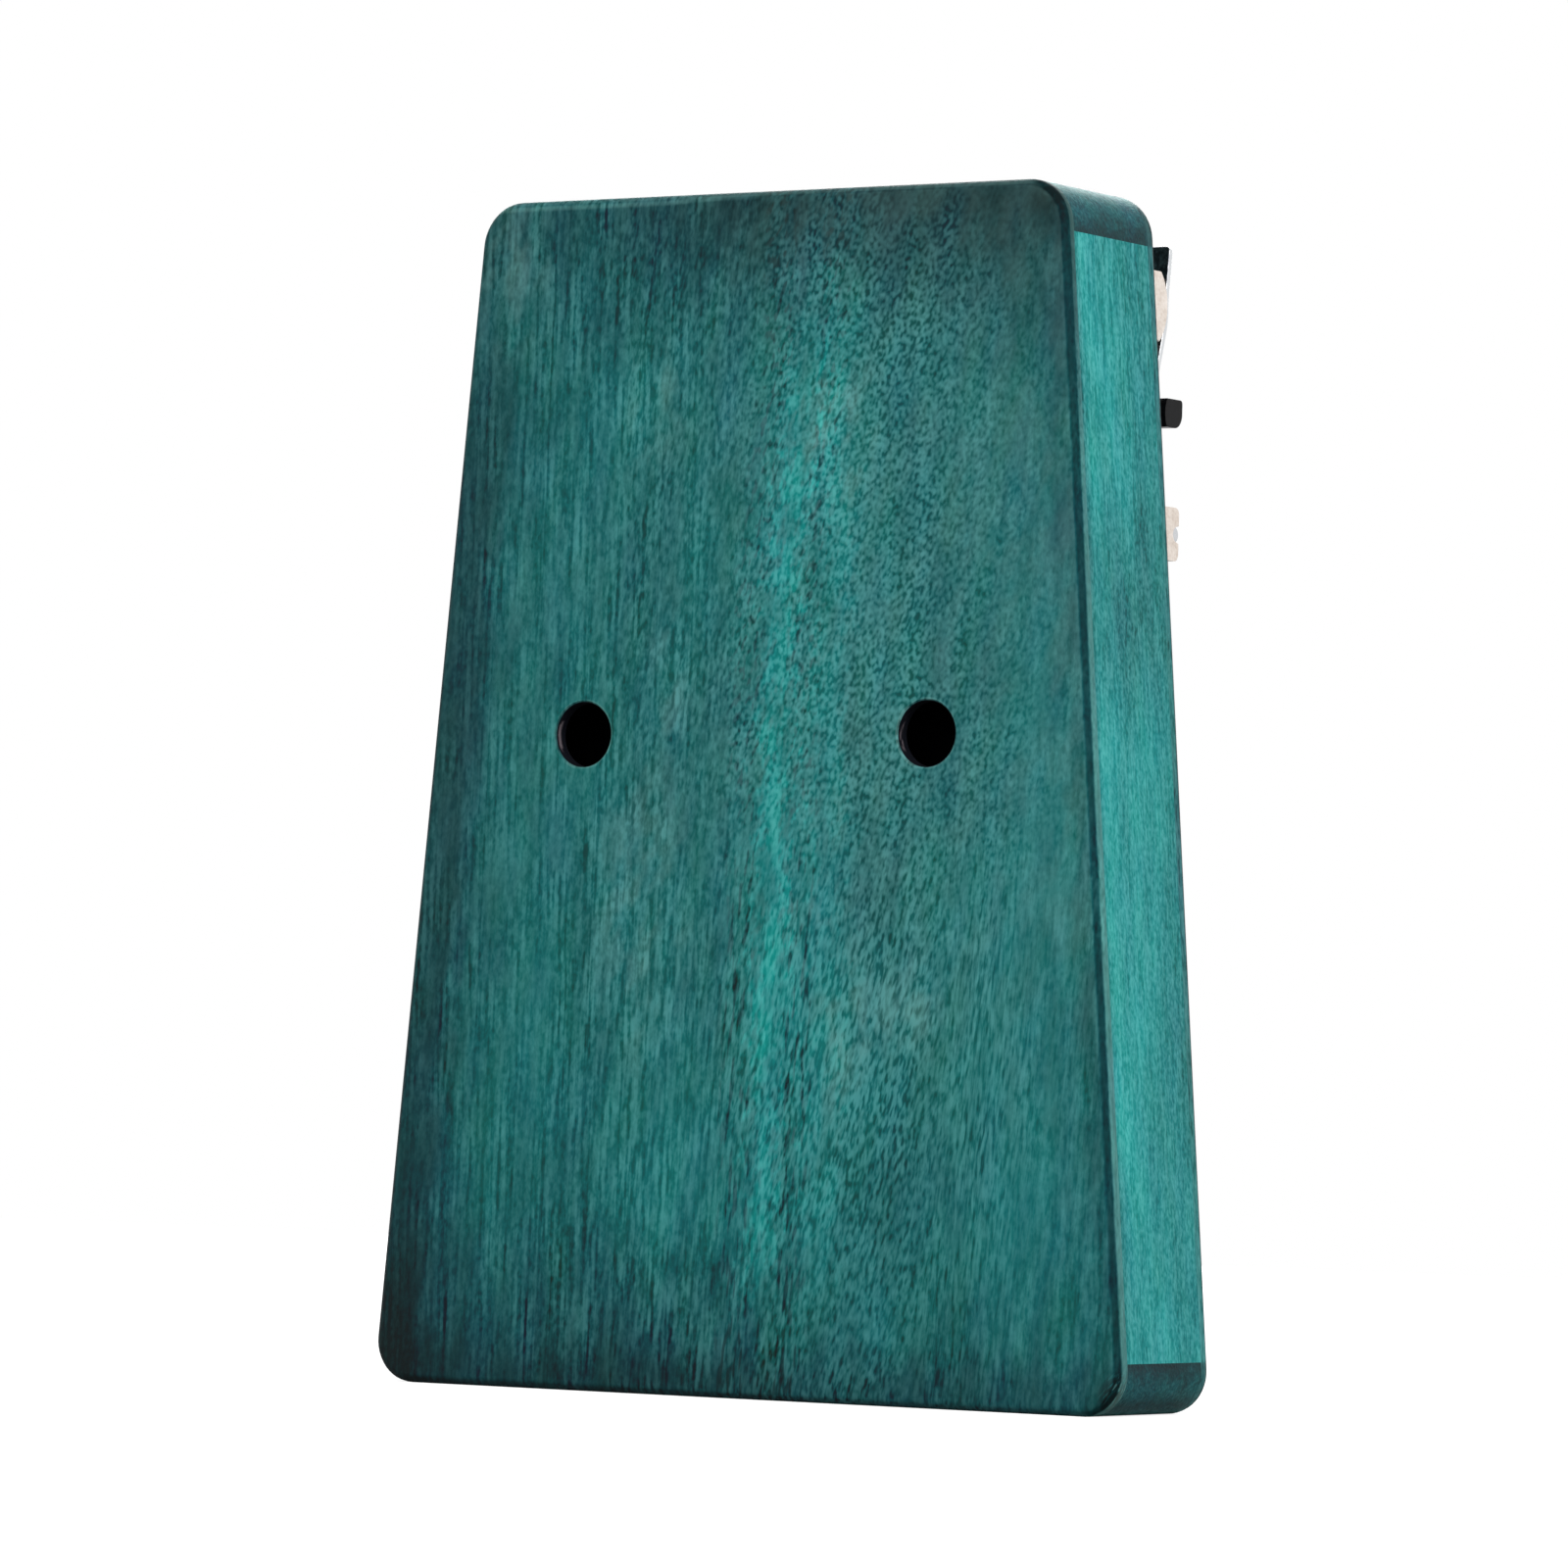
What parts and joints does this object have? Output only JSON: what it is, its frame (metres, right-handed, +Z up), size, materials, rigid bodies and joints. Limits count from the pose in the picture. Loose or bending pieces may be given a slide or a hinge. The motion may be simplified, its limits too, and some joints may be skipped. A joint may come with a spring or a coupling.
{
  "type": "kalimba",
  "caption": "Stained wooden box kalimba: spring-steel tines clamped over a saddle and bridge by a screwed bar, with a round sound hole in front and finger holes in the back.",
  "frame": {"origin": "middle of the foot end face, half way through the depth of the box", "axes": "+Z up the box from foot to head, tines face -Y, back faces +Y, +X to the right seen from the tines' side"},
  "size_m": [0.1354, 0.0411, 0.185],
  "materials": {
    "stained_back": "satin teal stain",
    "stained_front": "satin teal stain",
    "stained_rails": "satin teal stain",
    "block_wood": "sawn, unfinished",
    "pale_maple": "sanded, sealed",
    "rod_steel": "polished",
    "black_steel": "black, semi-gloss",
    "screw_steel": "plated",
    "tine_steel": "ground and polished"
  },
  "bodies": {
    "sound_box": {"back_board": "stained_back", "sound_board": "stained_front", "head_rail": "stained_rails", "foot_rail": "stained_rails", "left_rail": "stained_rails", "right_rail": "stained_rails", "screw_block": "block_wood", "saddle": "pale_maple", "bridge": "pale_maple", "bridge_rod": "rod_steel", "pressure_bar": "black_steel", "bar_screws": "screw_steel"},
    "tine_01_shank": {"tine_01_shank": "tine_steel"},
    "tine_01_blade": {"tine_01_blade": "tine_steel"},
    "tine_02_shank": {"tine_02_shank": "tine_steel"},
    "tine_02_blade": {"tine_02_blade": "tine_steel"},
    "tine_03_shank": {"tine_03_shank": "tine_steel"},
    "tine_03_blade": {"tine_03_blade": "tine_steel"},
    "tine_04_shank": {"tine_04_shank": "tine_steel"},
    "tine_04_blade": {"tine_04_blade": "tine_steel"},
    "tine_05_shank": {"tine_05_shank": "tine_steel"},
    "tine_05_blade": {"tine_05_blade": "tine_steel"},
    "tine_06_shank": {"tine_06_shank": "tine_steel"},
    "tine_06_blade": {"tine_06_blade": "tine_steel"},
    "tine_07_shank": {"tine_07_shank": "tine_steel"},
    "tine_07_blade": {"tine_07_blade": "tine_steel"},
    "tine_08_shank": {"tine_08_shank": "tine_steel"},
    "tine_08_blade": {"tine_08_blade": "tine_steel"},
    "tine_09_shank": {"tine_09_shank": "tine_steel"},
    "tine_09_blade": {"tine_09_blade": "tine_steel"},
    "tine_10_shank": {"tine_10_shank": "tine_steel"},
    "tine_10_blade": {"tine_10_blade": "tine_steel"},
    "tine_11_shank": {"tine_11_shank": "tine_steel"},
    "tine_11_blade": {"tine_11_blade": "tine_steel"},
    "tine_12_shank": {"tine_12_shank": "tine_steel"},
    "tine_12_blade": {"tine_12_blade": "tine_steel"},
    "tine_13_shank": {"tine_13_shank": "tine_steel"},
    "tine_13_blade": {"tine_13_blade": "tine_steel"},
    "tine_14_shank": {"tine_14_shank": "tine_steel"},
    "tine_14_blade": {"tine_14_blade": "tine_steel"},
    "tine_15_shank": {"tine_15_shank": "tine_steel"},
    "tine_15_blade": {"tine_15_blade": "tine_steel"},
    "tine_16_shank": {"tine_16_shank": "tine_steel"},
    "tine_16_blade": {"tine_16_blade": "tine_steel"},
    "tine_17_shank": {"tine_17_shank": "tine_steel"},
    "tine_17_blade": {"tine_17_blade": "tine_steel"}
  },
  "joints": [
    {"name": "tine_01_pluck", "type": "hinge", "parent": "tine_01_shank", "child": "tine_01_blade", "pos_m": [-0.04877, -0.02245, 0.1313], "axis": [1, 0, 0], "range_deg": [-2.5, 2.5], "stiffness_Nm_per_rad": 7.13},
    {"name": "tine_02_pluck", "type": "hinge", "parent": "tine_02_shank", "child": "tine_02_blade", "pos_m": [-0.04301, -0.02245, 0.1313], "axis": [1, 0, 0], "range_deg": [-2.5, 2.5], "stiffness_Nm_per_rad": 6.49},
    {"name": "tine_03_pluck", "type": "hinge", "parent": "tine_03_shank", "child": "tine_03_blade", "pos_m": [-0.0359, -0.02245, 0.1313], "axis": [1, 0, 0], "range_deg": [-2.5, 2.5], "stiffness_Nm_per_rad": 5.74},
    {"name": "tine_04_pluck", "type": "hinge", "parent": "tine_04_shank", "child": "tine_04_blade", "pos_m": [-0.03014, -0.02245, 0.1313], "axis": [1, 0, 0], "range_deg": [-2.5, 2.5], "stiffness_Nm_per_rad": 5.23},
    {"name": "tine_05_pluck", "type": "hinge", "parent": "tine_05_shank", "child": "tine_05_blade", "pos_m": [-0.02438, -0.02245, 0.1313], "axis": [1, 0, 0], "range_deg": [-2.5, 2.5], "stiffness_Nm_per_rad": 4.63},
    {"name": "tine_06_pluck", "type": "hinge", "parent": "tine_06_shank", "child": "tine_06_blade", "pos_m": [-0.01862, -0.02245, 0.1313], "axis": [1, 0, 0], "range_deg": [-2.5, 2.5], "stiffness_Nm_per_rad": 4.23},
    {"name": "tine_07_pluck", "type": "hinge", "parent": "tine_07_shank", "child": "tine_07_blade", "pos_m": [-0.01152, -0.02245, 0.1313], "axis": [1, 0, 0], "range_deg": [-2.5, 2.5], "stiffness_Nm_per_rad": 3.75},
    {"name": "tine_08_pluck", "type": "hinge", "parent": "tine_08_shank", "child": "tine_08_blade", "pos_m": [-0.00576, -0.02245, 0.1313], "axis": [1, 0, 0], "range_deg": [-2.5, 2.5], "stiffness_Nm_per_rad": 3.42},
    {"name": "tine_09_pluck", "type": "hinge", "parent": "tine_09_shank", "child": "tine_09_blade", "pos_m": [0, -0.02245, 0.1313], "axis": [1, 0, 0], "range_deg": [-2.5, 2.5], "stiffness_Nm_per_rad": 3.22},
    {"name": "tine_10_pluck", "type": "hinge", "parent": "tine_10_shank", "child": "tine_10_blade", "pos_m": [0.00576, -0.02245, 0.1313], "axis": [1, 0, 0], "range_deg": [-2.5, 2.5], "stiffness_Nm_per_rad": 3.63},
    {"name": "tine_11_pluck", "type": "hinge", "parent": "tine_11_shank", "child": "tine_11_blade", "pos_m": [0.01152, -0.02245, 0.1313], "axis": [1, 0, 0], "range_deg": [-2.5, 2.5], "stiffness_Nm_per_rad": 3.98},
    {"name": "tine_12_pluck", "type": "hinge", "parent": "tine_12_shank", "child": "tine_12_blade", "pos_m": [0.01862, -0.02245, 0.1313], "axis": [1, 0, 0], "range_deg": [-2.5, 2.5], "stiffness_Nm_per_rad": 4.49},
    {"name": "tine_13_pluck", "type": "hinge", "parent": "tine_13_shank", "child": "tine_13_blade", "pos_m": [0.02438, -0.02245, 0.1313], "axis": [1, 0, 0], "range_deg": [-2.5, 2.5], "stiffness_Nm_per_rad": 4.92},
    {"name": "tine_14_pluck", "type": "hinge", "parent": "tine_14_shank", "child": "tine_14_blade", "pos_m": [0.03014, -0.02245, 0.1313], "axis": [1, 0, 0], "range_deg": [-2.5, 2.5], "stiffness_Nm_per_rad": 5.4},
    {"name": "tine_15_pluck", "type": "hinge", "parent": "tine_15_shank", "child": "tine_15_blade", "pos_m": [0.0359, -0.02245, 0.1313], "axis": [1, 0, 0], "range_deg": [-2.5, 2.5], "stiffness_Nm_per_rad": 6.1},
    {"name": "tine_16_pluck", "type": "hinge", "parent": "tine_16_shank", "child": "tine_16_blade", "pos_m": [0.04301, -0.02245, 0.1313], "axis": [1, 0, 0], "range_deg": [-2.5, 2.5], "stiffness_Nm_per_rad": 6.7},
    {"name": "tine_17_pluck", "type": "hinge", "parent": "tine_17_shank", "child": "tine_17_blade", "pos_m": [0.04877, -0.02245, 0.1313], "axis": [1, 0, 0], "range_deg": [-2.5, 2.5], "stiffness_Nm_per_rad": 7.59},
    {"name": "tine_01_tune", "type": "slide", "parent": "sound_box", "child": "tine_01_shank", "axis": [0, 0, 1], "range_m": [-0.0008, 0.0008]},
    {"name": "tine_02_tune", "type": "slide", "parent": "sound_box", "child": "tine_02_shank", "axis": [0, 0, 1], "range_m": [-0.0008, 0.0008]},
    {"name": "tine_03_tune", "type": "slide", "parent": "sound_box", "child": "tine_03_shank", "axis": [0, 0, 1], "range_m": [-0.0008, 0.0008]},
    {"name": "tine_04_tune", "type": "slide", "parent": "sound_box", "child": "tine_04_shank", "axis": [0, 0, 1], "range_m": [-0.0008, 0.0008]},
    {"name": "tine_05_tune", "type": "slide", "parent": "sound_box", "child": "tine_05_shank", "axis": [0, 0, 1], "range_m": [-0.0008, 0.0008]},
    {"name": "tine_06_tune", "type": "slide", "parent": "sound_box", "child": "tine_06_shank", "axis": [0, 0, 1], "range_m": [-0.0008, 0.0008]},
    {"name": "tine_07_tune", "type": "slide", "parent": "sound_box", "child": "tine_07_shank", "axis": [0, 0, 1], "range_m": [-0.0008, 0.0008]},
    {"name": "tine_08_tune", "type": "slide", "parent": "sound_box", "child": "tine_08_shank", "axis": [0, 0, 1], "range_m": [-0.0008, 0.0008]},
    {"name": "tine_09_tune", "type": "slide", "parent": "sound_box", "child": "tine_09_shank", "axis": [0, 0, 1], "range_m": [-0.0008, 0.0008]},
    {"name": "tine_10_tune", "type": "slide", "parent": "sound_box", "child": "tine_10_shank", "axis": [0, 0, 1], "range_m": [-0.0008, 0.0008]},
    {"name": "tine_11_tune", "type": "slide", "parent": "sound_box", "child": "tine_11_shank", "axis": [0, 0, 1], "range_m": [-0.0008, 0.0008]},
    {"name": "tine_12_tune", "type": "slide", "parent": "sound_box", "child": "tine_12_shank", "axis": [0, 0, 1], "range_m": [-0.0008, 0.0008]},
    {"name": "tine_13_tune", "type": "slide", "parent": "sound_box", "child": "tine_13_shank", "axis": [0, 0, 1], "range_m": [-0.0008, 0.0008]},
    {"name": "tine_14_tune", "type": "slide", "parent": "sound_box", "child": "tine_14_shank", "axis": [0, 0, 1], "range_m": [-0.0008, 0.0008]},
    {"name": "tine_15_tune", "type": "slide", "parent": "sound_box", "child": "tine_15_shank", "axis": [0, 0, 1], "range_m": [-0.0008, 0.0008]},
    {"name": "tine_16_tune", "type": "slide", "parent": "sound_box", "child": "tine_16_shank", "axis": [0, 0, 1], "range_m": [-0.0008, 0.0008]},
    {"name": "tine_17_tune", "type": "slide", "parent": "sound_box", "child": "tine_17_shank", "axis": [0, 0, 1], "range_m": [-0.0008, 0.0008]}
  ]
}
